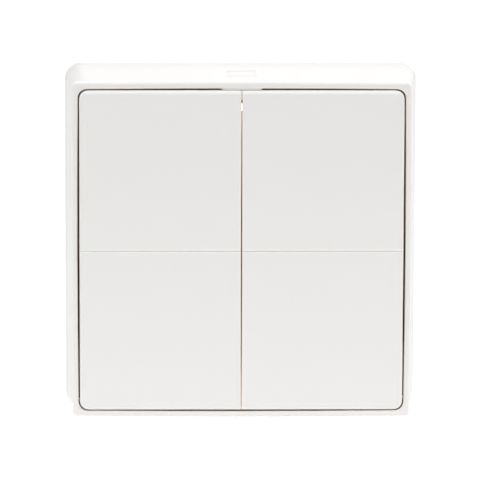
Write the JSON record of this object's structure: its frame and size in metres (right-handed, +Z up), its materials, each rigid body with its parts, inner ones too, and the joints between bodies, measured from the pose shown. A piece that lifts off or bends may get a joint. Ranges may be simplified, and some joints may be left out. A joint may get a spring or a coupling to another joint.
{
  "type": "wireless wall switch",
  "caption": "Square surface-mounted battery wall switch: a shallow white frame holding tall side-by-side rockers, each with a moulded groove across its middle.",
  "frame": {"origin": "centre of the wall plate's back face, on the wall", "axes": "+Y into the wall, +Z up, +X to the viewer's right; the rockers face -Y"},
  "size_m": [0.08, 0.0203, 0.08],
  "materials": {
    "plate_plastic": "satin white",
    "frame_plastic": "fine satin white",
    "rocker_plastic": "fine satin white",
    "carrier_plastic": "satin white",
    "housing_plastic": "fine matt grey",
    "board_laminate": "solder mask over glass weave",
    "shield_metal": "pressed, tinned",
    "clear_plastic": "clear moulded",
    "cell_steel": "spun steel",
    "holder_plastic": "fine matt black",
    "spring_metal": "bright strip",
    "ceramic_parts": "fired ceramic",
    "screw_steel": "zinc plated",
    "light_plastic": "cast resin",
    "chip_plastic": "moulded black",
    "switch_plastic": "fine matt black",
    "stem_plastic": "satin off-white"
  },
  "bodies": {
    "base": {"wall_plate": "plate_plastic", "front_frame": "frame_plastic", "rear_housing": "housing_plastic", "rocker_carrier": "carrier_plastic", "circuit_board": "board_laminate", "radio_module": "shield_metal", "light_pipe": "clear_plastic", "coin_cell": "cell_steel", "cell_holder": "holder_plastic", "contact_negative": "spring_metal", "contact_positive": "spring_metal", "small_components": "ceramic_parts", "housing_screws": "screw_steel", "status_light": "light_plastic", "microcontroller": "chip_plastic", "timing_crystal": "shield_metal", "switch_body_upper_left": "switch_plastic", "switch_body_upper_right": "switch_plastic", "switch_body_lower_left": "switch_plastic", "switch_body_lower_right": "switch_plastic"},
    "rocker_left": {"rocker_left": "rocker_plastic"},
    "rocker_right": {"rocker_right": "rocker_plastic"},
    "key_stem_upper_left": {"key_stem_upper_left": "stem_plastic"},
    "key_stem_upper_right": {"key_stem_upper_right": "stem_plastic"},
    "key_stem_lower_left": {"key_stem_lower_left": "stem_plastic"},
    "key_stem_lower_right": {"key_stem_lower_right": "stem_plastic"}
  },
  "joints": [
    {"name": "rocker_left_tilt", "type": "hinge", "parent": "base", "child": "rocker_left", "pos_m": [-0.01831, -0.0176, 0], "axis": [1, 0, 0], "range_deg": [-1, 1], "stiffness_Nm_per_rad": 3},
    {"name": "rocker_right_tilt", "type": "hinge", "parent": "base", "child": "rocker_right", "pos_m": [0.01831, -0.0176, 0], "axis": [1, 0, 0], "range_deg": [-1, 1], "stiffness_Nm_per_rad": 3},
    {"name": "key_upper_left_travel", "type": "slide", "parent": "base", "child": "key_stem_upper_left", "axis": [0, 1, 0], "range_m": [-0.00048, 0.00048]},
    {"name": "key_upper_right_travel", "type": "slide", "parent": "base", "child": "key_stem_upper_right", "axis": [0, 1, 0], "range_m": [-0.00048, 0.00048]},
    {"name": "key_lower_left_travel", "type": "slide", "parent": "base", "child": "key_stem_lower_left", "axis": [0, 1, 0], "range_m": [-0.00048, 0.00048]},
    {"name": "key_lower_right_travel", "type": "slide", "parent": "base", "child": "key_stem_lower_right", "axis": [0, 1, 0], "range_m": [-0.00048, 0.00048]}
  ],
  "couplings": [
    {"joint": "key_upper_left_travel", "follows": "rocker_left_tilt", "m_per_rad": -0.027},
    {"joint": "key_upper_right_travel", "follows": "rocker_right_tilt", "m_per_rad": -0.027},
    {"joint": "key_lower_left_travel", "follows": "rocker_left_tilt", "m_per_rad": 0.027},
    {"joint": "key_lower_right_travel", "follows": "rocker_right_tilt", "m_per_rad": 0.027}
  ]
}
